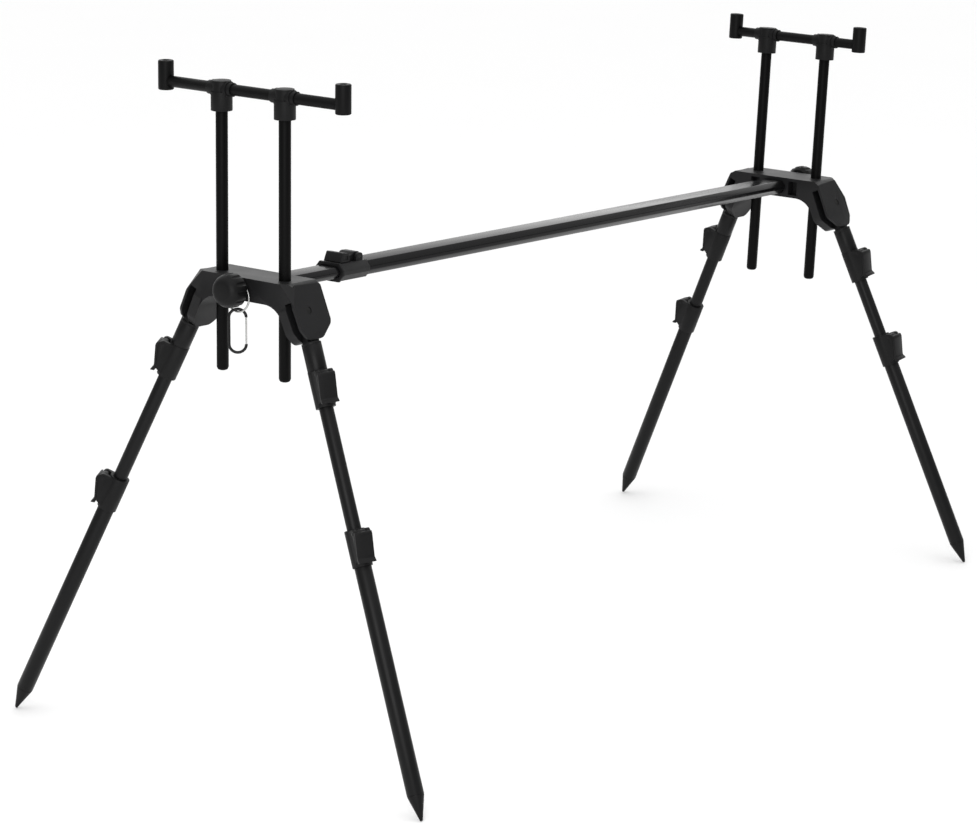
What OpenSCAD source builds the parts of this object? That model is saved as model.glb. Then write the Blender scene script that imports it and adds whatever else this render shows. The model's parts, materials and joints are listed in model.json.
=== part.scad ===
// Rod pod: a telescopic bar with a moulded head at each end, four folding two-stage legs
// and two height-adjustable goalposts that carry the rod rests.
// The pod is built level about the middle of its bar, front end towards -X, and is then
// stood on its four spikes. Left and right are as seen from the rear. Millimetres.

/* [Bar] */
// Distance between the front and the rear posts
post_pitch = 1086; // [1000:1:1250]
// Width of the outer tube over its side edges
bar_w = 36; // [32:0.5:40]
// Width of the flat top and bottom of the outer tube
bar_flat = 26; // [22:0.5:29]
// Height of the outer tube
bar_h = 16.5; // [15:0.5:20]
// Height of the upright land at each side edge of the outer tube
bar_land = 4; // [3.5:0.25:6]
// Wall of the outer tube
bar_wall = 1.6; // [1.2:0.1:2]
// Wall of the inner tube
inner_wall = 1.5; // [1:0.1:1.8]
// Length of the inner tube
inner_len = 500; // [400:5:700]
// Depth of the bar socket in each head
socket_depth = 40; // [30:1:44]
// Free length of the inner tube between the front head and the clamp
bar_reach = 99; // [60:1:200]
// Length of the bar clamp
clamp_len = 50; // [48:1:60]
// Wall of the bar clamp over the outer tube
clamp_wall = 1.6; // [1.4:0.1:3]
// Length of the clamp's front rim
rim_len = 3.5; // [2.5:0.5:5]
// How far the rim stands proud of the clamp
rim_proud = 0.8; // [0.5:0.1:1.5]
// Length of inner tube that the clamp's mouth guides
mouth_len = 18; // [12:1:24]

/* [Heads] */
// Reach of a head from the post line towards the middle of the pod
head_in = 31; // [29:0.5:34]
// Reach of a head from the post line outwards
head_out = 22; // [19:0.5:24]
// Height of the top face above the bar's centre line
head_top = 12.5; // [12:0.25:16]
// Depth of the bridge below the bar's centre line
bridge_drop = 13; // [12:0.25:16]
// Half width of the flat top face
head_half = 62; // [59:0.5:65]
// Half width of the top face along its outer edge, where the corner cut starts
head_cut = 56; // [54:0.5:60]
// Tilt of the corner cut from upright
cut_tilt = 34; // [25:1:42]
// Radius of the arch where the bridge runs into a wing
arch_r = 28; // [10:1:30]
// Distance of a leg pivot from the pod's middle plane
pivot_y = 72.6; // [71:0.2:76]
// Drop of a leg pivot below the bar's centre line
pivot_drop = 18.5; // [17:0.5:22]
// Sideways splay of the wings and legs
splay = 23.8; // [20:0.2:28]
// Outward lean of an open leg within its wing
lean = 5.8; // [3:0.2:9]
// Distance from the leg's middle plane to the wing's outer face
wing_out = 7.6; // [7.4:0.2:10]
// Distance from the leg's middle plane to the wing's inner face
wing_in = 16; // [14:0.25:18]
// Height of the wing above its pivot
wing_up = 29.5; // [27:0.5:33]
// Depth of the wing below its pivot
wing_low = 32.5; // [30:0.5:33.5]
// Distance from the pivot to the wing's outer edge
wing_front = 23; // [21:0.5:26]
// Length of the chamfer at the wing's lower inner corner, along the bar
wing_chamfer = 21; // [18:0.5:26]
// Height of the slot's mouth above the pivot, on the side of the folded leg
mouth_up = 21; // [16:0.5:23]
// Diameter of the leg pivot pin
pin_d = 8; // [6:0.5:10]
// Depth of the pivot pin in the thick inner cheek
pin_seat = 8; // [6:0.5:9]

/* [Legs] */
// Width of the leg's tongue
tongue_w = 19; // [16:0.5:20]
// Thickness of the leg's tongue
tongue_t = 8.5; // [7:0.25:9]
// Distance from the pivot to the top of the upper tube's shoulder
neck = 35; // [35:0.5:39]
// Thickness of the shoulder on the knuckle
shoulder_h = 3; // [2:0.5:4]
// Length of the knuckle's plug in the upper tube
plug_len = 9; // [6:0.5:12]
// Diameter of the upper tube
upper_d = 22; // [21:0.5:24]
// Wall of the upper tube
upper_wall = 1.5; // [1:0.1:1.5]
// Diameter of the middle tube
middle_d = 16; // [14:0.5:16]
// Wall of the middle tube
middle_wall = 1.3; // [1:0.1:2]
// Length of the middle tube
middle_len = 306; // [286:1:316]
// Diameter of the lower tube
lower_d = 19; // [18.8:0.1:20]
// Length of a leg from the middle of its lower lock to its point
lower_len = 300; // [280:1:320]
// Distance from the pivot to the middle of the upper lock
upper_lock_at = 87; // [84:1:94]
// Distance from the pivot to the middle of a front leg's lower lock
front_lock_at = 264.5; // [196:0.5:306]
// Distance from the pivot to the middle of a rear leg's lower lock
rear_lock_at = 205; // [176:0.5:286]
// Length of a spike's cone
spike_len = 28; // [20:1:36]
// Width of a spike's blunt point
point_d = 3; // [2:0.5:5]
// Length of a spike's plug in the lower tube
spike_plug = 15; // [10:1:20]

/* [Locks] */
// Length of a lock collar
lock_len = 41; // [38:1:46]
// Diameter of a lock collar
lock_d = 22.6; // [22.2:0.2:24.4]
// Length of lower tube or spigot that a collar grips
grip_len = 16; // [12:1:18]
// Distance of the lever pin from the leg's centre line
lever_pin_y = 16.4; // [16.2:0.1:18]
// Distance of the lever pin from the top of the collar
lever_pin_top = 6.2; // [6:0.1:8]
// Diameter of the lever pin
lever_pin_d = 4; // [3:0.25:5]
// Radius of an ear about the lever pin
ear_r = 4.7; // [4.4:0.1:4.8]
// Thickness of each ear
ear_t = 4.4; // [3.4:0.1:5]
// Gap between the two ears
ear_gap = 11.2; // [9:0.2:12]
// Reach of an ear at its lower end, from the leg's centre line
ear_foot = 13; // [12.5:0.1:14]
// Length of the lever below its pin
lever_len = 33; // [30:0.5:34]
// Thickness of the lever's plate
lever_t = 2.8; // [2.4:0.1:3.6]
// Flare of the finger tab
tab_out = 2.5; // [2:0.5:5]
// Turn of a front leg's locks about the leg, towards the end of the pod
front_turn = 28; // [0:1:40]
// Turn of a rear leg's locks about the leg, towards the end of the pod
rear_turn = 0; // [0:1:40]

/* [Goalposts] */
// Distance between the two posts of a goalpost
post_gap = 90; // [86:0.5:94]
// Diameter of a post
post_d = 13.5; // [12:0.25:14]
// Length of a goalpost from its crossbar's centre line to the foot of its posts
post_len = 315; // [290:1:340]
// Height of the front crossbar above the bar's centre line
front_bar_z = 214; // [150:1:260]
// Height of the rear crossbar above the bar's centre line
rear_bar_z = 193; // [150:1:260]
// Outward lean of the posts from square to the bar
post_lean = 2; // [0:0.25:4]
// Diameter of a crossbar
cross_d = 12.5; // [11:0.25:13]
// Distance between the front rod rest sockets
front_cups = 252; // [220:1:320]
// Distance between the rear rod rest sockets
rear_cups = 191; // [170:1:260]
// Diameter of a rod rest socket
cup_d = 17.5; // [16:0.25:20]
// Height of a rod rest socket
cup_h = 32.5; // [32:0.5:40]
// Distance of the crossbar below the top of a rod rest socket
cup_top = 22.8; // [22:0.2:24]
// Tapping diameter of the socket's thread
thread_d = 8.3; // [6:0.1:8.4]
// Depth of the socket's thread
thread_len = 20; // [12:1:20]
// Diameter of a post sleeve
sleeve_d = 24; // [20:0.5:26]
// Depth of a post sleeve below the crossbar
sleeve_drop = 24; // [20:0.5:30]
// Diameter of the saddle round the crossbar
saddle_d = 18; // [17:0.5:19.5]
// Length of the saddle along the crossbar
saddle_len = 34; // [28:1:40]

/* [Knobs and hook] */
// Diameter of a hand knob
knob_d = 38; // [32:1:40]
// Length of a hand knob
knob_len = 26; // [20:1:32]
// Number of grip flutes round a hand knob
knob_flutes = 12; // [8:1:16]
// Diameter of a knob's neck
neck_d = 11; // [10:0.5:14]
// Length of a knob's neck, where the ring hangs
neck_len = 6; // [5:0.5:8]
// Diameter of a knob's screw
screw_d = 8; // [6:0.5:9]
// Radius of the ring to the middle of its wire
ring_r = 16; // [15:0.5:18]
// Diameter of the ring's wire
ring_wire = 2.2; // [1.6:0.1:2.6]
// Length of the snap hook over its wire
hook_len = 52; // [46:1:64]
// Width of the snap hook over its wire
hook_w = 22; // [20:0.5:28]
// Diameter of the snap hook's wire
hook_wire = 3.2; // [2.6:0.1:3.6]
// Diameter of the gate's wire
gate_wire = 2; // [1.6:0.1:2.4]
// Turn of the snap hook about the vertical
hook_turn = 50; // [40:1:55]

/* [Fits] */
// Radial clearance of a turning pin
run = 0.06; // [0.03:0.01:0.1]
// Radial clearance of a sliding tube or post
slide = 0.1; // [0.06:0.01:0.15]
// Clearance of the bar's telescopic sections
bar_slide = 0.3; // [0.2:0.05:0.4]
// Radial clearance of two pieces that are fixed together
fit = 0.05; // [0.02:0.01:0.08]
// Clearance beside a tongue, lever or gate
side = 0.3; // [0.2:0.05:0.4]

/* [Hidden] */
$fn = 64;
ENDS = [["front", -1], ["rear", 1]];
CORNERS = [for (e = ENDS, s = [["left", -1], ["right", 1]]) [str(e[0], "_", s[0]), e[1], s[1]]];
LEG_PIECES = ["knuckle", "upper_tube", "upper_lock", "upper_lever", "middle_tube",
    "lower_tube", "lower_lock", "lower_lever", "spike"];
END_PIECES = ["head", "pivot_pins", "knob", "posts", "post_sleeves", "crossbar", "rest_sockets"];
BAR_PIECES = ["outer_tube", "inner_tube", "bar_clamp", "bar_lever", "bar_lever_pin"];
HOOK_PIECES = ["ring", "snap_hook", "snap_gate"];

moulded = "#1d1d1f";
anodised = "#242427";
steel = "#9a9a9a";
eps = 0.01;

// Shape helpers

function unit(v) = v / norm(v);

// Arc that rounds corner b between a and c with radius r
function corner(a, b, c, r, steps) = r == 0 ? [b] : let (
    u = unit(a - b),
    v = unit(c - b),
    half = acos(u * v) / 2,
    centre = b + unit(u + v) * r / sin(half),
    from = b + u * r / tan(half) - centre,
    to = b + v * r / tan(half) - centre,
    start = atan2(from.y, from.x),
    raw = atan2(to.y, to.x) - start,
    sweep = raw > 180 ? raw - 360 : raw < -180 ? raw + 360 : raw
) [for (i = [0 : steps]) centre + r * [cos(start + sweep * i / steps), sin(start + sweep * i / steps)]];

// Outline whose corners are rounded with the given radii
function rounded(pts, radii, steps = 6) = [for (i = [0 : len(pts) - 1]) each corner(
    pts[(i + len(pts) - 1) % len(pts)], pts[i], pts[(i + 1) % len(pts)], radii[i], steps)];

// Section of the bar, inset from the outer tube's surface
bar_slope = atan2((bar_h - bar_land) / 2, (bar_w - bar_flat) / 2);
function bar_outline(inset) = let (
    flat = bar_flat / 2 - inset * tan(bar_slope / 2),
    land = bar_land / 2 - inset * tan((90 - bar_slope) / 2),
    w = bar_w / 2 - inset,
    h = bar_h / 2 - inset
) [[flat, h], [w, land], [w, -land], [flat, -h], [-flat, -h], [-w, -land], [-w, land], [-flat, h]];

// Extrudes an outline given across the bar from x0 to x1
module along_x(x0, x1) {
    translate([x0, 0, 0]) rotate([90, 0, 90]) linear_extrude(x1 - x0) children();
}

// Extrudes an outline given in X and Z, centred on Y
module across_y(width) {
    rotate([90, 0, 0]) linear_extrude(width, center = true) children();
}

// Extrudes an outline given in Y and Z, centred on X
module across_x(width) {
    rotate([90, 0, 90]) linear_extrude(width, center = true) children();
}

// Where things are

post_x = post_pitch / 2;
knob_end = post_x + head_out + neck_len + knob_len;
knob_grip = 12;
knob_dome = 10;
leg_down = [sin(lean), cos(lean) * sin(splay), -cos(lean) * cos(splay)];
pivot = [post_x, pivot_y, -pivot_drop];
mirror_x = [-1, 1, 1];
function mul(a, b) = [a.x * b.x, a.y * b.y, a.z * b.z];
function lock_at(end) = end < 0 ? front_lock_at : rear_lock_at;
function leg_len(end) = lock_at(end) + lower_len;
function bar_z(end) = end < 0 ? front_bar_z : rear_bar_z;
function cup_gap(end) = end < 0 ? front_cups : rear_cups;

// The pitch that brings all four points to the ground
front_tip = mul(pivot + leg_down * leg_len(-1), mirror_x);
rear_tip = pivot + leg_down * leg_len(1);
bar_pitch = atan2(rear_tip.z - front_tip.z, rear_tip.x - front_tip.x);
function pitched(p) = [
    p.x * cos(bar_pitch) + p.z * sin(bar_pitch), p.y, p.z * cos(bar_pitch) - p.x * sin(bar_pitch)];
front_down = pitched(mul(leg_down, mirror_x));
rear_down = pitched(leg_down);
point_r = point_d / 2;
stand_z = point_r * sqrt(1 - front_down.z * front_down.z) - pitched(front_tip).z;
front_heel = pitched(front_tip) - front_down * spike_len;
stand_front = front_heel.x - lower_d / 2 * sqrt(1 - front_down.x * front_down.x);
stand_rear = pitched([knob_end, 0, knob_d / 2 - knob_dome]).x;
stand_x = -(stand_front + stand_rear) / 2;

// Stands the level pod on the ground, centred
module stand() {
    translate([stand_x, 0, stand_z]) rotate([0, bar_pitch, 0]) children();
}

// Moves a rear right shape to the end and side asked for
module at_end(end) {
    stand() mirror([end < 0 ? 1 : 0, 0, 0]) children();
}

// Frame of a goalpost: Z up the posts from the bar's centre line
module at_posts() {
    translate([post_x, 0, 0]) rotate([0, post_lean, 0]) children();
}

module both_sides() {
    for (s = [0, 1]) mirror([0, s, 0]) children();
}

// Frame of a wing: X outward along the bar, Y along the pin, Z up the wing
module at_wing() {
    translate(pivot) rotate([splay, 0, 0]) children();
}

// Frame of an open leg: pivot at the origin, the leg down -Z, +Y away from the pod
module at_leg(c) {
    at_end(c[1]) mirror([0, c[2] < 0 ? 1 : 0, 0]) at_wing() rotate([0, -lean, 0]) children();
}

// Bar

clamp_x = -post_x + head_in + bar_reach;
bar_end = post_x - head_in + socket_depth - side;
mouth = bar_wall + bar_slide;

module outer_tube() {
    color(anodised) stand() difference() {
        along_x(clamp_x + mouth_len, bar_end) polygon(bar_outline(0));
        along_x(clamp_x + mouth_len - 1, bar_end + 1) polygon(bar_outline(bar_wall));
    }
}

module inner_tube() {
    color(anodised) stand() difference() {
        along_x(-bar_end, -bar_end + inner_len) polygon(bar_outline(mouth));
        along_x(-bar_end - 1, -bar_end + inner_len + 1) polygon(bar_outline(mouth + inner_wall));
    }
}

// The clamp's top face, its lever pin and the hump that the lever turns in
clamp_top = bar_h / 2 + clamp_wall;
hump_r = 4.8;
hump_x = clamp_x + clamp_len - hump_r - 6;
hump_z = clamp_top + hump_r + side;
bar_pin_d = 4;
bar_ear_in = 9;
bar_ear_out = 13;
handle_half = 12;

module bar_clamp() {
    color(moulded) stand() difference() {
        union() {
            along_x(clamp_x, clamp_x + clamp_len) polygon(bar_outline(-clamp_wall));
            along_x(clamp_x, clamp_x + rim_len) polygon(bar_outline(-clamp_wall - rim_proud));
            both_sides() bar_ear();
        }
        along_x(clamp_x - 1, clamp_x + mouth_len + 1) polygon(bar_outline(bar_wall));
        along_x(clamp_x + mouth_len, clamp_x + clamp_len + 1) polygon(bar_outline(-fit));
        translate([hump_x, 0, hump_z]) rotate([90, 0, 0])
            cylinder(d = bar_pin_d + 2 * fit, h = 2 * bar_ear_out + 2, center = true);
    }
}

// One of the two ears that hold the bar lever's pin
module bar_ear() {
    foot = clamp_top - 2;
    outline = rounded([[hump_x - hump_r - 2, foot], [hump_x + hump_r, foot],
        [hump_x + hump_r, hump_z + hump_r - 1], [hump_x - hump_r - 2, hump_z + hump_r - 1]], [0, 0, 4, 5]);
    translate([0, (bar_ear_in + bar_ear_out) / 2, 0]) across_y(bar_ear_out - bar_ear_in) polygon(outline);
}

// Flip lever: a hump over the pin, a dip and a thick handle towards the front
module bar_lever() {
    foot = clamp_top + side;
    front = clamp_x + rim_len + 1.5;
    top = hump_z + hump_r;
    dip = foot + 6.5;
    arm = rounded([[front + 7, foot], [hump_x + hump_r, foot], [hump_x + hump_r, top],
        [hump_x - hump_r - 1, top], [hump_x - hump_r - 6, dip], [front + 7, dip + 1]],
        [0, hump_r - eps, hump_r - eps, 4, 3, 0]);
    handle = rounded([[front, foot], [front + 17, foot], [front + 16, foot + 9.5], [front + 5, foot + 11.2]],
        [1, 1, 2.5, 2]);
    color(moulded) stand() difference() {
        union() {
            across_y(2 * (bar_ear_in - side)) polygon(arm);
            across_y(2 * handle_half) polygon(handle);
        }
        translate([hump_x, 0, hump_z]) rotate([90, 0, 0])
            cylinder(d = bar_pin_d + 2 * run, h = 4 * handle_half, center = true);
        both_sides() translate([front + 10.5, handle_half, foot + 4.8])
            cube([8, 2, 4.6], center = true);
    }
}

module bar_lever_pin() {
    color(steel) stand() translate([hump_x, 0, hump_z]) rotate([90, 0, 0])
        cylinder(d = bar_pin_d, h = 2 * bar_ear_out, center = true);
}

// Heads

slot_w = tongue_t + 2 * side;
roof = tongue_w / 2 + side;

// Half of the bridge across the bar, with the arch that runs into the wing
module bridge_half() {
    down = [sin(splay), -cos(splay)];
    out = [cos(splay), sin(splay)];
    at = [pivot.y, pivot.z];
    inner = at - out * wing_in;
    spring = inner + down * (-bridge_drop - inner.y) / down.y;
    foot = inner + down * 10;
    outer = at + out * (wing_out - 0.5);
    outline = concat(
        [[-1, head_top], [head_half, head_top], outer - down * (wing_up - 3.5), outer, foot],
        corner(foot, spring, [-1, -bridge_drop], arch_r, 10),
        [[-1, -bridge_drop]]);
    along_x(post_x - head_in, post_x + head_out) polygon(outline);
}

// Space outside the sloping cut across a head's top outer corner
module corner_cut() {
    size = 80;
    translate([post_x + head_out, head_cut, head_top]) rotate([0, -cut_tilt, 45])
        translate([0, -size, -size]) cube([size, 2 * size, 2 * size]);
}

// Wing with a thin outer and a thick inner cheek; its lower edges are nearer to the pivot than the
// leg's shoulder, so that a leg swings past them
module wing() {
    outline = rounded(
        [[-head_in, wing_up - 2.5], [-head_in, -wing_low + 15.5], [-head_in + wing_chamfer, -wing_low],
        [wing_front - 9, -wing_low], [wing_front - 1, -wing_low + 12.5], [wing_front, 6],
        [wing_front - 10.5, wing_up]], [3, 10, 12, 10, 10, 4, 3]);
    at_wing() translate([0, (wing_out - wing_in) / 2, 0]) across_y(wing_out + wing_in) polygon(outline);
}

// Room for the tongue between the cheeks, with a roof that stops the open leg and a higher mouth
// towards the middle of the pod
module wing_slot() {
    far = 60;
    mouth_at = -tongue_w / 2 - 3.5;
    outline = [[-far, mouth_up], [mouth_at, mouth_up], [mouth_at, roof], [0, roof],
        [far, (roof + far * sin(lean)) / cos(lean)], [far, -far], [-far, -far]];
    at_wing() across_y(slot_w) polygon(outline);
}

// Bore for the pivot pin, through the outer cheek and blind in the inner one
module pin_bore() {
    length = wing_out + slot_w / 2 + pin_seat + side;
    at_wing() translate([0, wing_out + 1, 0]) rotate([90, 0, 0])
        cylinder(d = pin_d + 2 * fit, h = length + 1);
}

// Pocket between the bar socket and a post
module bridge_pocket() {
    from = bar_w / 2 + 4.5;
    to = post_gap / 2 - post_d / 2 - 2.5;
    floor_z = -bridge_drop + 3.5;
    translate([post_x - head_in - 1, from, floor_z]) cube([13, to - from, head_top - 4 - floor_z]);
}

module head(end) {
    inset = end < 0 ? mouth : 0;
    color(moulded) at_end(end) difference() {
        union() {
            both_sides() bridge_half();
            both_sides() wing();
            along_x(post_x + head_out - 1, post_x + head_out + 1.5) circle(d = neck_d + 8);
        }
        both_sides() corner_cut();
        both_sides() wing_slot();
        both_sides() bridge_pocket();
        both_sides() pin_bore();
        at_posts() both_sides() translate([0, post_gap / 2, 0])
            cylinder(d = post_d + 2 * slide, h = 5 * head_top, center = true);
        along_x(post_x - head_in - 1, post_x - head_in + socket_depth) polygon(bar_outline(inset - fit));
        along_x(post_x - head_in, post_x + head_out + 3) circle(d = screw_d + 2 * run);
    }
}

// The pins' outer ends lie a little below the wings' outer faces
module pivot_pins(end) {
    top = wing_out - 0.5;
    color(steel) at_end(end) both_sides() at_wing() translate([0, top, 0]) rotate([90, 0, 0])
        cylinder(d = pin_d, h = top + slot_w / 2 + pin_seat);
}

// Knobs, ring and snap hook

// Hand knob with a domed and fluted grip, a neck, and a screw in the head
module knob(end) {
    start = post_x + head_out + neck_len;
    r = knob_d / 2;
    rise = knob_len - knob_grip;
    dome = [for (i = [0 : 6]) [r - knob_dome * (1 - cos(15 * i)), knob_grip + rise * sin(15 * i)]];
    skirt = concat([[0, 0], [r - 4, 0], [r, 5]], dome, [[0, knob_len]]);
    color(moulded) at_end(end) union() {
        difference() {
            translate([start, 0, 0]) rotate([0, 90, 0]) rotate_extrude() polygon(skirt);
            for (i = [0 : knob_flutes - 1]) rotate([i * 360 / knob_flutes, 0, 0])
                translate([start - 1, 0, r + 1.6]) rotate([0, 90, 0]) cylinder(r = 3, h = knob_len + 2);
        }
        along_x(post_x + head_out + 1.5 + side, start + 1) circle(d = neck_d);
        along_x(post_x + head_out - 10, start + 1) circle(d = screw_d);
    }
}

ring_x = -(post_x + head_out + neck_len / 2 + 1);
ring_z = neck_d / 2 + side - (ring_r - ring_wire / 2);
ring_low = [ring_x, 0, ring_z - ring_r];

module ring() {
    color(steel) stand() translate([ring_x, 0, ring_z]) rotate([0, 90, 0])
        rotate_extrude() translate([ring_r, 0]) circle(d = ring_wire, $fn = 24);
}

// Frame of the hanging hook: upright, with its top bow resting on the ring
module at_hook() {
    rise = (ring_wire + hook_wire) / 2 + side;
    stand() translate(ring_low) rotate([0, -bar_pitch, 0])
        translate([0, 0, rise]) rotate([0, 0, -hook_turn]) children();
}

bow_r = (hook_w - hook_wire) / 2;
hook_drop = hook_len - hook_wire - 2 * bow_r;
gate_gap = 1;

// Half-round bow in the hook's plane, open downwards
module bow() {
    rotate([90, 0, 0]) rotate_extrude(angle = 180) translate([bow_r, 0]) circle(d = hook_wire, $fn = 24);
}

// Open oval of wire, closed on one side by the gate
module snap_hook() {
    color(moulded) at_hook() translate([0, 0, -bow_r]) {
        bow();
        translate([0, 0, -hook_drop]) mirror([0, 0, 1]) bow();
        translate([-bow_r, 0, -hook_drop - eps]) cylinder(d = hook_wire, h = hook_drop + 2 * eps, $fn = 24);
    }
}

module snap_gate() {
    color(steel) at_hook() translate([bow_r, 0, -bow_r - hook_drop + gate_gap / 2])
        cylinder(d = gate_wire, h = hook_drop - gate_gap, $fn = 24);
}

// Goalposts

module posts(end) {
    foot = bar_z(end) - post_len;
    top = bar_z(end) - cross_d / 2 - side;
    r = post_d / 2;
    section = [[0, foot], [r - 3, foot], [r - 1, foot + 1], [r, foot + 3.5], [r, top], [0, top]];
    color(anodised) at_end(end) at_posts() both_sides() translate([0, post_gap / 2, 0])
        rotate_extrude() polygon(section);
}

// Sleeve on a post's head, with a saddle round the crossbar
module post_sleeves(end) {
    cap = saddle_d / 2;
    at = [0, post_gap / 2, bar_z(end)];
    color(moulded) at_end(end) at_posts() both_sides() translate(at) difference() {
        union() {
            translate([0, 0, -sleeve_drop]) cylinder(d = sleeve_d, h = sleeve_drop - cross_d / 4);
            translate([0, 0, -sleeve_drop]) cylinder(d = sleeve_d - 3, h = sleeve_drop + cap);
            rotate([90, 0, 0]) cylinder(d = saddle_d, h = saddle_len - 10, center = true);
            rotate([90, 0, 0]) cylinder(d = saddle_d - 2.5, h = saddle_len, center = true);
        }
        rotate([90, 0, 0]) cylinder(d = cross_d + 2 * fit, h = saddle_len + 2, center = true);
        translate([0, 0, -sleeve_drop - 1]) cylinder(d = post_d + 2 * fit, h = sleeve_drop + 1);
    }
}

cup_seat = thread_d / 2 + 0.9;

module crossbar(end) {
    half = cup_gap(end) / 2 - cup_seat - side;
    color(anodised) at_end(end) at_posts() translate([0, 0, bar_z(end)]) rotate([90, 0, 0])
        cylinder(d = cross_d, h = 2 * half, center = true);
}

// Threaded sockets for rod rests, on the ends of the crossbar
module rest_sockets(end) {
    r = cup_d / 2;
    foot = cup_top - cup_h;
    at = [0, cup_gap(end) / 2, bar_z(end)];
    section = [[0, foot], [r - 0.8, foot], [r, foot + 0.8],
        [r, cup_top - 0.8], [r - 0.8, cup_top], [0, cup_top]];
    color(anodised) at_end(end) at_posts() both_sides() translate(at) difference() {
        rotate_extrude() polygon(section);
        translate([0, 0, cup_top - thread_len]) cylinder(d = thread_d, h = thread_len + 1);
        translate([0, -cup_seat, 0]) rotate([90, 0, 0]) cylinder(d = cross_d + 2 * fit, h = cup_d);
    }
}

// Legs

upper_bore = upper_d - 2 * upper_wall;
guide_d = middle_d + 2 * slide;
lock_top = upper_lock_at - lock_len / 2;
lock_foot = upper_lock_at + lock_len / 2;
tube_top = neck + shoulder_h;
middle_top = tube_top + plug_len + side;

// Tongue that turns in the wing, with a square heel that meets the slot's roof when the leg is open
module knuckle(c) {
    half = tongue_w / 2;
    outline = rounded([[half, half], [half, -neck - 1], [-half, -neck - 1], [-half, half]],
        [0.8, 0, 0, half - eps]);
    color(moulded) at_leg(c) difference() {
        union() {
            across_y(tongue_t) polygon(outline);
            translate([0, 0, -tube_top]) cylinder(d = upper_d, h = shoulder_h);
            translate([0, 0, -tube_top - plug_len]) cylinder(d = upper_bore - 2 * fit, h = plug_len + 1);
        }
        rotate([90, 0, 0]) cylinder(d = pin_d + 2 * run, h = 2 * tongue_t, center = true);
    }
}

// Plain tube down a leg, from one distance below the pivot to another
module tube(from, to, d, bore) {
    difference() {
        translate([0, 0, -to]) cylinder(d = d, h = to - from);
        translate([0, 0, -to - 1]) cylinder(d = bore, h = to - from + 2);
    }
}

module upper_tube(c) {
    color(anodised) at_leg(c) tube(tube_top, lock_top, upper_d, upper_bore);
}

module middle_tube(c) {
    bore = middle_d - 2 * middle_wall;
    color(anodised) at_leg(c) tube(middle_top, middle_top + middle_len, middle_d, bore);
}

lower_top = lock_len / 2 - grip_len;

module lower_tube(c) {
    at = lock_at(c[1]);
    color(anodised) at_leg(c) tube(at + lower_top, at + lower_len - spike_len, lower_d, guide_d);
}

module spike(c) {
    heel = leg_len(c[1]) - spike_len;
    section = [[0, -heel + spike_plug], [guide_d / 2 - fit, -heel + spike_plug], [guide_d / 2 - fit, -heel],
        [lower_d / 2, -heel], [point_d / 2, -heel - spike_len], [0, -heel - spike_len]];
    color(moulded) at_leg(c) rotate_extrude() polygon(section);
}

// Lower end of an ear, from the collar's middle, and the turn of an end's locks
ear_low = 6 - lock_len / 2;
function lock_turn(e) = e < 0 ? front_turn : rear_turn;

// Collar body about its own middle: barrel, two ears for the lever and the clamp slit
module lock_body(bore) {
    pin_z = lock_len / 2 - lever_pin_top;
    out = lever_pin_y + ear_r;
    outline = rounded([[4, pin_z + ear_r], [out, pin_z + ear_r], [out, pin_z - 3],
        [ear_foot, ear_low], [4, ear_low - 4]], [0, ear_r - eps, 0, 2, 0]);
    difference() {
        union() {
            cylinder(d = lock_d, h = lock_len, center = true);
            for (x = [-1, 1]) translate([x * (ear_gap + ear_t) / 2, 0, 0]) across_x(ear_t) polygon(outline);
        }
        cylinder(d = bore, h = lock_len + 2, center = true);
        translate([0, lever_pin_y, pin_z]) rotate([0, 90, 0])
            cylinder(d = lever_pin_d + 2 * run, h = 3 * ear_gap, center = true);
        translate([-0.8, 0, -lock_len / 2 + 4]) cube([1.6, lock_d, lock_len - 12]);
    }
}

// Flip lever about its pin: a nose between the ears, a plate outside them and a finger tab
module lock_lever() {
    pin_z = lock_len / 2 - lever_pin_top;
    out = lever_pin_y + ear_r + side;
    back = [ear_foot + side, ear_low] - [out, pin_z - 3];
    normal = unit([-back.y, back.x]);
    high = [out + 0.1, pin_z - 3];
    low = high + unit(back) * (lever_len - 6);
    plate = rounded([[out + 0.1, pin_z + 0.6], high, low, low + [0.3, -3], low + [lever_t + tab_out, -4.5],
        low + [lever_t + tab_out - 0.6, -2], low + normal * lever_t + [0, 2], high + normal * lever_t,
        [out + lever_t, pin_z + 0.6]], [0, 0, 0, 0.6, 0.6, 0.6, 3, 3, 2]);
    nose = [[lever_pin_y, pin_z - 3], [out + 1, pin_z - 3], [out + 1, pin_z + 0.4], [lever_pin_y, pin_z + 3]];
    nose_w = ear_gap - 2 * side;
    union() {
        across_x(ear_gap + 2 * ear_t) polygon(plate);
        across_x(nose_w) polygon(nose);
        translate([0, lever_pin_y, pin_z]) rotate([0, 90, 0]) {
            cylinder(d = 2 * ear_r - 1.2, h = nose_w, center = true);
            cylinder(d = lever_pin_d, h = ear_gap + 2 * ear_t + 0.4, center = true);
        }
    }
}

// Upper collar, with a spigot that plugs into the upper tube
module upper_lock(c) {
    color(moulded) at_leg(c) rotate([0, 0, -lock_turn(c[1])]) {
        translate([0, 0, -upper_lock_at]) lock_body(guide_d);
        tube(lock_top - grip_len / 2, lock_top + 1, upper_bore - 2 * fit, guide_d);
    }
}

module upper_lever(c) {
    color(moulded) at_leg(c) rotate([0, 0, -lock_turn(c[1])])
        translate([0, 0, -upper_lock_at]) lock_lever();
}

// Lower collar, seated on the top of the lower tube
module lower_lock(c) {
    color(moulded) at_leg(c) rotate([0, 0, -lock_turn(c[1])]) translate([0, 0, -lock_at(c[1])]) difference() {
        lock_body(guide_d);
        translate([0, 0, -lock_len / 2 - 1]) cylinder(d = lower_d + 2 * fit, h = grip_len + 1);
    }
}

module lower_lever(c) {
    color(moulded) at_leg(c) rotate([0, 0, -lock_turn(c[1])])
        translate([0, 0, -lock_at(c[1])]) lock_lever();
}

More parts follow.
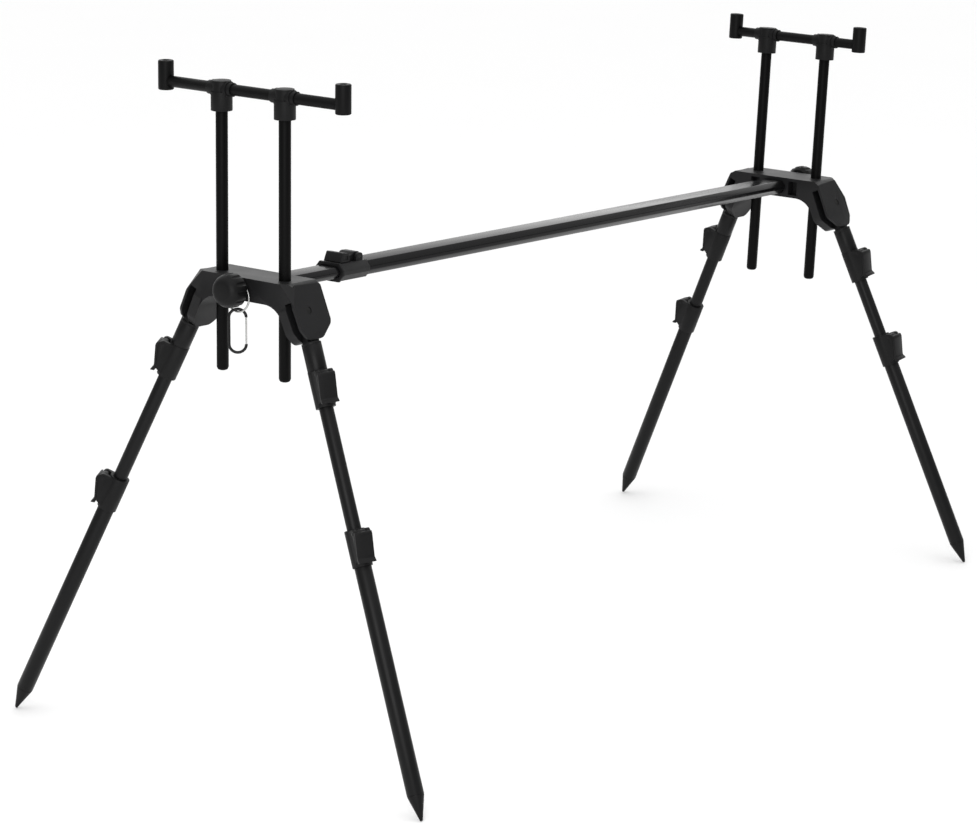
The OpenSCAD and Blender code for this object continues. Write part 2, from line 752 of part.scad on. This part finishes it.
outer_tube();
inner_tube();
bar_clamp();
bar_lever();
bar_lever_pin();
for (e = ENDS) {
    head(e[1]);
    pivot_pins(e[1]);
    knob(e[1]);
    posts(e[1]);
    post_sleeves(e[1]);
    crossbar(e[1]);
    rest_sockets(e[1]);
}
for (c = CORNERS) {
    knuckle(c);
    upper_tube(c);
    upper_lock(c);
    upper_lever(c);
    middle_tube(c);
    lower_tube(c);
    lower_lock(c);
    lower_lever(c);
    spike(c);
}
ring();
snap_hook();
snap_gate();
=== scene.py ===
import json
import math

import bpy
from mathutils import Matrix, Vector


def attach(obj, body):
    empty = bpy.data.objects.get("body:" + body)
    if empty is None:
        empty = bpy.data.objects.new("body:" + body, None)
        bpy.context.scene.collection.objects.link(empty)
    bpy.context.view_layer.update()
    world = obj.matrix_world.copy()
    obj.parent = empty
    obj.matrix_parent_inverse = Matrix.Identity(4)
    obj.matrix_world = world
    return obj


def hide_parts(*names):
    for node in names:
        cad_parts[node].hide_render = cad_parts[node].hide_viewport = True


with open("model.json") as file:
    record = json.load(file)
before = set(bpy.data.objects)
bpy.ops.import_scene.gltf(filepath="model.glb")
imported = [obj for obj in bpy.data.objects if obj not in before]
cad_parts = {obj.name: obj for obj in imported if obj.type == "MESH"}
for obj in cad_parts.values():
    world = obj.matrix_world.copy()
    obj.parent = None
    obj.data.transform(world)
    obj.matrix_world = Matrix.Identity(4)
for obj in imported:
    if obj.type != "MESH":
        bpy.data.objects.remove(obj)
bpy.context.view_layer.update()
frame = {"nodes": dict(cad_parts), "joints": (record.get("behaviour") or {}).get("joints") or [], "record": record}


# Outer tube of the bar: a drawn aluminium section, flattened and six-sided, anodised black.
# It is cut square, and is glued into the rear head's socket and the clamp.

class Shade:
    """A socket of a finish's nodes; arithmetic on it adds Math nodes."""

    def __init__(self, tree, socket):
        self.tree = tree
        self.socket = socket

    def node(self, kind, settings=(), sockets=(), out=0):
        made = self.tree.nodes.new(kind)
        for name, value in dict(settings).items():
            setattr(made, name, value)
        for name, value in dict(sockets).items():
            if isinstance(value, Shade):
                self.tree.links.new(value.socket, made.inputs[name])
            else:
                made.inputs[name].default_value = value
        return Shade(self.tree, made.outputs[out])

    def operate(self, operation, a, b=0.0):
        return self.node("ShaderNodeMath", {"operation": operation}, {0: a, 1: b})

    def __add__(self, other):
        return self.operate("ADD", self, other)

    def __mul__(self, other):
        return self.operate("MULTIPLY", self, other)

    __radd__ = __add__
    __rmul__ = __mul__

    def along(self, direction):
        sockets = {0: self, 1: direction}
        return self.node("ShaderNodeVectorMath", {"operation": "DOT_PRODUCT"}, sockets, "Value")

    def noise(self, scale, detail, distortion=0.0):
        return self.node("ShaderNodeTexNoise", (), {
            "Vector": self, "Scale": scale, "Detail": detail, "Distortion": distortion})

    def tinted(self, blue=1.0):
        return self.node("ShaderNodeCombineColor", (), {0: self, 1: self, 2: self * blue})


def new_finish(name):
    """Make a material, and give its shader and the coordinates on its piece too."""
    finish = bpy.data.materials.new(name)
    finish.use_nodes = True
    tree = finish.node_tree
    place = Shade(tree, tree.nodes.new("ShaderNodeTexCoord").outputs["Object"])
    return finish, tree.nodes["Principled BSDF"], place


def drive(shader, **sockets):
    """Set a shader's sockets, to a shade or to a plain value."""
    for name, value in sockets.items():
        target = shader.inputs[name.replace("_", " ")]
        if isinstance(value, Shade):
            value.tree.links.new(value.socket, target)
        else:
            target.default_value = value


def anodised_finish(name, grain, tone, gloss, specular):
    """Black anodised aluminium with fine drawn lines along the grain."""
    along_scale, across_scale = 14, 1400
    patch_scale, rub_scale = 22.0, 310.0
    finish, shader, place = new_finish(name)
    across = grain.orthogonal().normalized()
    third = grain.cross(across)
    streak = place.node("ShaderNodeCombineXYZ", (), {
        0: place.along(grain) * along_scale,
        1: place.along(across) * across_scale,
        2: place.along(third) * across_scale})
    drawn = streak.noise(1.0, detail=3.0)
    patch = place.noise(patch_scale, detail=4.0)
    rubbed = place.noise(rub_scale, detail=2.0)
    shade = drawn * (0.35 * tone) + patch * (0.3 * tone) + 0.7 * tone
    bump = place.node("ShaderNodeBump", (), {"Strength": 0.12, "Distance": 0.0002, "Height": drawn})
    roughness = drawn * 0.12 + patch * 0.10 + rubbed * 0.05 + gloss
    drive(
        shader, Base_Color=shade.tinted(blue=1.06), Roughness=roughness,
        Specular_IOR_Level=specular, Normal=bump)
    return finish


def add_object(name, data):
    made = bpy.data.objects.new(name, data)
    bpy.context.scene.collection.objects.link(made)
    return made


def pick(piece):
    """Make a piece the active one, with nothing else selected."""
    bpy.ops.object.select_all(action="DESELECT")
    piece.select_set(True)
    bpy.context.view_layer.objects.active = piece


def soften(node, body, finish, edge, angle=28, segments=2):
    """Copy a node's mesh, round its sharp edges and let the copy stand for the node."""
    weld, coplanar, smooth_margin = 0.00001, math.radians(0.6), 4
    piece = add_object(node + "_look", frame["nodes"][node].data.copy())
    pick(piece)
    if piece.data.has_custom_normals:
        bpy.ops.mesh.customdata_custom_splitnormals_clear()
    bpy.ops.object.mode_set(mode="EDIT")
    bpy.ops.mesh.select_all(action="SELECT")
    bpy.ops.mesh.remove_doubles(threshold=weld)
    bpy.ops.mesh.dissolve_limited(angle_limit=coplanar)
    bpy.ops.object.mode_set(mode="OBJECT")
    if edge:
        round_over = piece.modifiers.new("edge", "BEVEL")
        round_over.width = edge
        round_over.segments = segments
        round_over.limit_method = "ANGLE"
        round_over.angle_limit = math.radians(angle)
        bpy.ops.object.modifier_apply(modifier="edge")
    bpy.ops.object.shade_smooth_by_angle(angle=math.radians(angle + smooth_margin))
    piece.data.materials.clear()
    piece.data.materials.append(finish)
    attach(piece, body)
    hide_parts(node)
    return piece


joints = {j["name"]: j for j in frame["joints"]}
bar_line = Vector(joints["bar_extend"]["axis"])
bar_edge = 0.0006
bar_finish = anodised_finish("bar_anodised", bar_line, tone=0.004, gloss=0.08, specular=0.17)
soften("outer_tube", "rear_frame", bar_finish, bar_edge)

# Inner tube of the bar: the same drawn section one size down, a sliding fit in the outer tube.
# It is pressed into the front head's socket and carries faint rub marks from the clamp.

inner_finish = anodised_finish("inner_bar_anodised", bar_line, tone=0.005, gloss=0.1, specular=0.19)
soften("inner_tube", "front_frame", inner_finish, bar_edge)

# Bar clamp: a black glass-filled nylon moulding over the outer tube's end, with a flip lever
# that turns on a steel pin between two ears and squeezes the inner tube.


def moulded_finish(name, tone, gloss, specular):
    """Black nylon with a fine spark grain and faint flow marks."""
    spark_scale, fine_scale, flow_scale = 1500.0, 900.0, 26.0
    finish, shader, place = new_finish(name)
    spark = place.node("ShaderNodeTexVoronoi", (), {"Vector": place, "Scale": spark_scale})
    fine = place.noise(fine_scale, detail=3.0)
    flow = place.noise(flow_scale, detail=5.0, distortion=0.6)
    shade = flow * (0.5 * tone) + fine * (0.2 * tone) + 0.65 * tone
    bump = place.node("ShaderNodeBump", (), {
        "Strength": 0.22, "Distance": 0.00012, "Height": spark * 0.6 + fine * 0.5})
    roughness = flow * 0.14 + fine * 0.08 + gloss
    drive(
        shader, Base_Color=shade.tinted(blue=1.05), Roughness=roughness,
        Specular_IOR_Level=specular, Normal=bump)
    return finish


clamp_edge, bar_lever_edge = 0.0004, 0.0006
clamp_finish = moulded_finish("clamp_nylon", tone=0.007, gloss=0.36, specular=0.16)
soften("bar_clamp", "rear_frame", clamp_finish, clamp_edge)
soften("bar_lever", "bar_lever", clamp_finish, bar_lever_edge)

# Pins: blackened ground steel, one through the clamp's ears and two in each head.
# They are pressed into the moulded ears and cheeks, and the lever and the legs turn on them.


def steel_finish(name, tone, gloss):
    """Bare steel with fine tool marks and faint stains."""
    turned_scale, stain_scale = 900.0, 70.0
    finish, shader, place = new_finish(name)
    turned = place.noise(turned_scale, detail=3.0)
    stain = place.noise(stain_scale, detail=4.0)
    shade = turned * (0.18 * tone) + stain * (0.2 * tone) + 0.8 * tone
    roughness = turned * 0.12 + stain * 0.1 + gloss
    drive(shader, Base_Color=shade.tinted(blue=0.98), Roughness=roughness, Metallic=1.0)
    return finish


pin_edge = 0.0004
pin_finish = steel_finish("pin_steel", tone=0.035, gloss=0.35)
soften("bar_lever_pin", "rear_frame", pin_finish, pin_edge)
soften("front_pivot_pins", "front_frame", pin_finish, pin_edge)
soften("rear_pivot_pins", "rear_frame", pin_finish, pin_edge)

# Heads: one-piece black nylon mouldings, with the bar's socket, the post holes and a forked wing
# for each leg. The outer edges are well rounded and the faces have a fine spark grain.

head_edge, head_angle, head_segments = 0.0012, 32, 3
head_finish = moulded_finish("head_nylon", tone=0.01, gloss=0.34, specular=0.18)
soften("front_head", "front_frame", head_finish, head_edge, head_angle, head_segments)
soften("rear_head", "rear_frame", head_finish, head_edge, head_angle, head_segments)

# Hand knobs: fluted and domed grips of black nylon, moulded round a stud.
# Each one is screwed into the outer face of its head.

knob_edge = 0.0006
knob_finish = moulded_finish("knob_nylon", tone=0.004, gloss=0.32, specular=0.16)
soften("front_knob", "front_knob", knob_finish, knob_edge)
soften("rear_knob", "rear_knob", knob_finish, knob_edge)

# Goalposts: black anodised posts and crossbar, joined by moulded sleeves, with a turned and
# threaded aluminium socket on each end of the crossbar for a rod rest.

rod_edge, sleeve_edge = 0.0004, 0.0006
upright, sideways = Vector(joints["front_goalpost_height"]["axis"]), Vector((0, 1, 0))
post_finish = anodised_finish("post_anodised", upright, tone=0.0015, gloss=0.34, specular=0.08)
cross_finish = anodised_finish("crossbar_anodised", sideways, tone=0.0025, gloss=0.34, specular=0.11)
sleeve_finish = moulded_finish("sleeve_nylon", tone=0.004, gloss=0.4, specular=0.16)
rest_sockets = {}
for end in ("front", "rear"):
    goalpost = end + "_goalpost"
    soften(end + "_posts", goalpost, post_finish, rod_edge)
    soften(end + "_crossbar", goalpost, cross_finish, rod_edge)
    soften(end + "_post_sleeves", goalpost, sleeve_finish, sleeve_edge)
    rest_sockets[end] = soften(end + "_rest_sockets", goalpost, cross_finish, rod_edge)

# Threads of the rod rest sockets: a fine helical groove cut outwards from the tapping bore, twenty
# turns to the inch. The bore's plain wall is taken out of the socket's mesh to show it.

pitch, thread_depth = 0.00127, 0.0006
crest, flank = 0.12, 0.32
mouth_lip, bottom_lip = 0.0003, 0.0005
wall_slack, wall_steepness = 1.03, 0.2
turn_steps, thread_smooth = 40, math.radians(30)


def open_bore(socket, middle, line, bore, depth):
    """Take a bore's plain wall out of its socket's mesh."""
    pick(socket)
    bpy.ops.object.mode_set(mode="EDIT")
    bpy.ops.mesh.select_mode(type="FACE")
    bpy.ops.mesh.select_all(action="DESELECT")
    bpy.ops.object.mode_set(mode="OBJECT")
    for face in socket.data.polygons:
        offset = face.center - middle
        height = offset.dot(line)
        near_wall = (offset - line * height).length < bore * wall_slack
        within = abs(height) < depth / 2 - bottom_lip
        faces_in = abs(face.normal.dot(line)) < wall_steepness
        face.select = near_wall and within and faces_in
    bpy.ops.object.mode_set(mode="EDIT")
    bpy.ops.mesh.delete(type="FACE")
    bpy.ops.object.mode_set(mode="OBJECT")


def turn_thread(name, bore, turns):
    """Turn one pitch of the thread's outline round Z, as a screw."""
    groove = bore + thread_depth
    outline = [
        (bore, 0), (bore, crest), (groove, crest + flank),
        (groove, 1 - crest - flank), (bore, 1 - crest), (bore, 1)]
    edges = [(i, i + 1) for i in range(len(outline) - 1)]
    coil = bpy.data.meshes.new(name)
    coil.from_pydata([(radius, 0, share * pitch) for radius, share in outline], edges, [])
    thread = add_object(name, coil)
    pick(thread)
    turned = thread.modifiers.new("turned", "SCREW")
    turned.screw_offset = pitch
    turned.iterations = turns
    turned.steps = turn_steps
    turned.use_merge_vertices = True
    bpy.ops.object.modifier_apply(modifier="turned")
    bpy.ops.object.shade_smooth_by_angle(angle=thread_smooth)
    return thread


for mount in frame["record"]["mounts"]:
    end = mount["name"].split("_")[0]
    bore = mount["dims"]["r_mm"] / 1000
    depth = mount["dims"]["length_mm"] / 1000
    middle, line = Vector(mount["pos_m"]), Vector(mount["axis"])
    open_bore(rest_sockets[end], middle, line, bore, depth)
    turns = math.ceil(depth / pitch)
    thread = turn_thread(mount["name"], bore, turns)
    foot = middle + line * (depth / 2 - mouth_lip - (turns + 1) * pitch)
    thread.data.transform(Matrix.Translation(foot) @ line.to_track_quat("Z", "Y").to_matrix().to_4x4())
    thread.data.materials.append(cross_finish)
    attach(thread, end + "_goalpost")

# Legs: a moulded tongue on the pivot pin, three aluminium tubes that slide in one another, two
# moulded collars with flip levers, and a moulded spike plugged into the foot.

tube_edge, lock_edge, lever_edge, knuckle_edge = 0.0004, 0.0005, 0.0004, 0.0006
leg_moulding = moulded_finish("leg_nylon", tone=0.004, gloss=0.36, specular=0.18)
lever_moulding = moulded_finish("lever_nylon", tone=0.005, gloss=0.32, specular=0.18)
for corner in ("front_left", "front_right", "rear_left", "rear_right"):
    leg_line = Vector(joints[corner + "_upper_slide"]["axis"])
    tube_finish = anodised_finish(corner + "_leg_anodised", leg_line, tone=0.004, gloss=0.26, specular=0.18)
    top, middle, bottom = corner + "_leg_top", corner + "_leg_middle", corner + "_leg_bottom"
    upper_lever, lower_lever = corner + "_upper_lever", corner + "_lower_lever"
    soften(corner + "_knuckle", top, leg_moulding, knuckle_edge)
    soften(corner + "_upper_tube", top, tube_finish, tube_edge)
    soften(corner + "_upper_lock", top, leg_moulding, lock_edge)
    soften(upper_lever, upper_lever, lever_moulding, lever_edge)
    soften(corner + "_middle_tube", middle, tube_finish, tube_edge)
    soften(corner + "_lower_tube", bottom, tube_finish, tube_edge)
    soften(corner + "_lower_lock", bottom, leg_moulding, lock_edge)
    soften(lower_lever, lower_lever, lever_moulding, lever_edge)
    soften(corner + "_spike", bottom, leg_moulding, knuckle_edge)

# Ring and snap hook: a bright wire ring round the front knob's neck, and a black coated wire hook
# with a bright sprung gate, hanging on it.

hook_edge, gate_edge = 0.0004, 0.0003
wire_finish = steel_finish("ring_steel", tone=0.5, gloss=0.12)
hook_finish = moulded_finish("hook_coating", tone=0.004, gloss=0.22, specular=0.25)
soften("ring", "ring", wire_finish, 0)
soften("snap_hook", "hook", hook_finish, hook_edge)
soften("snap_gate", "gate", wire_finish, gate_edge)

# Studio: a pale floor that fills the background, soft light from overhead and from a backdrop on
# the far side, a large soft box above and another in front.

floor_size = 300
paper_tone, paper_mottle, paper_scale = 0.972, 0.01, 3.0
paper_roughness, paper_specular = 0.9, 0.1
bpy.ops.mesh.primitive_plane_add(size=floor_size, location=(0, 0, 0))
floor = bpy.context.active_object
floor.name = "floor"
paper, paper_shader, paper_place = new_finish("floor_paper")
pale = paper_place.noise(paper_scale, detail=3.0) * paper_mottle + paper_tone
drive(paper_shader, Base_Color=pale.tinted(), Roughness=paper_roughness, Specular_IOR_Level=paper_specular)
floor.data.materials.append(paper)

overhead_light, backdrop_light, even_light = 1.12, 1.3, 0.17
backdrop_way, backdrop_falloff = (0.8, 0.6, 0), 4.0
world = bpy.data.worlds.new("studio")
bpy.context.scene.world = world
world.use_nodes = True
sky = world.node_tree
way = Shade(sky, sky.nodes.new("ShaderNodeTexCoord").outputs["Generated"])
overhead = way.operate("MAXIMUM", way.along((0, 0, 1)))
backdrop = way.operate("POWER", way.operate("MAXIMUM", way.along(backdrop_way)), backdrop_falloff)
strength = overhead * overhead_light + backdrop * backdrop_light + even_light
drive(sky.nodes["Background"], Color=(1, 1, 1, 1), Strength=strength)

aim = Vector((0, 0, 0.4))
soft_boxes = (
    ("top_box", 9, (3.2, 2.4), Vector((-0.6, -0.9, 3.2))),
    ("front_box", 28, (1.6, 1.6), Vector((-2.6, -1.5, 1.2))))
for name, watts, sides, stand in soft_boxes:
    softbox = add_object(name, bpy.data.lights.new(name, "AREA"))
    softbox.data.shape = "RECTANGLE"
    softbox.data.size, softbox.data.size_y = sides
    softbox.data.energy = watts
    softbox.location = stand
    softbox.rotation_euler = (aim - stand).to_track_quat("-Z", "Y").to_euler()

# Camera at the photograph's angle: its azimuth, elevation, roll, distance and focal length in
# pixels were fitted to the points of the legs, the posts and the rod rest sockets.

picture_width, sensor_width, focal_px, far_clip = 977, 36, 3685.54, 100
azimuth, elevation, roll = math.radians(-53.0728), math.radians(14.6453), math.radians(0.428)
distance, target = 4.43432, Vector((-0.09559, 0, 0.29347))
flat = Vector((math.sin(azimuth), -math.cos(azimuth), 0))
back_dir = flat * math.cos(elevation) + Vector((0, 0, math.sin(elevation)))
right = Vector((math.cos(azimuth), math.sin(azimuth), 0))
up = back_dir.cross(right)
level_right = right * math.cos(roll) + up * math.sin(roll)
level_up = up * math.cos(roll) - right * math.sin(roll)
turn = Matrix((level_right, level_up, back_dir)).transposed().to_4x4()
camera = add_object("camera", bpy.data.cameras.new("camera"))
camera.data.sensor_fit = "HORIZONTAL"
camera.data.sensor_width = sensor_width
camera.data.lens = sensor_width * focal_px / picture_width
camera.data.clip_end = far_clip
camera.matrix_world = Matrix.Translation(target + back_dir * distance) @ turn
bpy.context.scene.camera = camera
bpy.context.scene.view_settings.view_transform = "Standard"
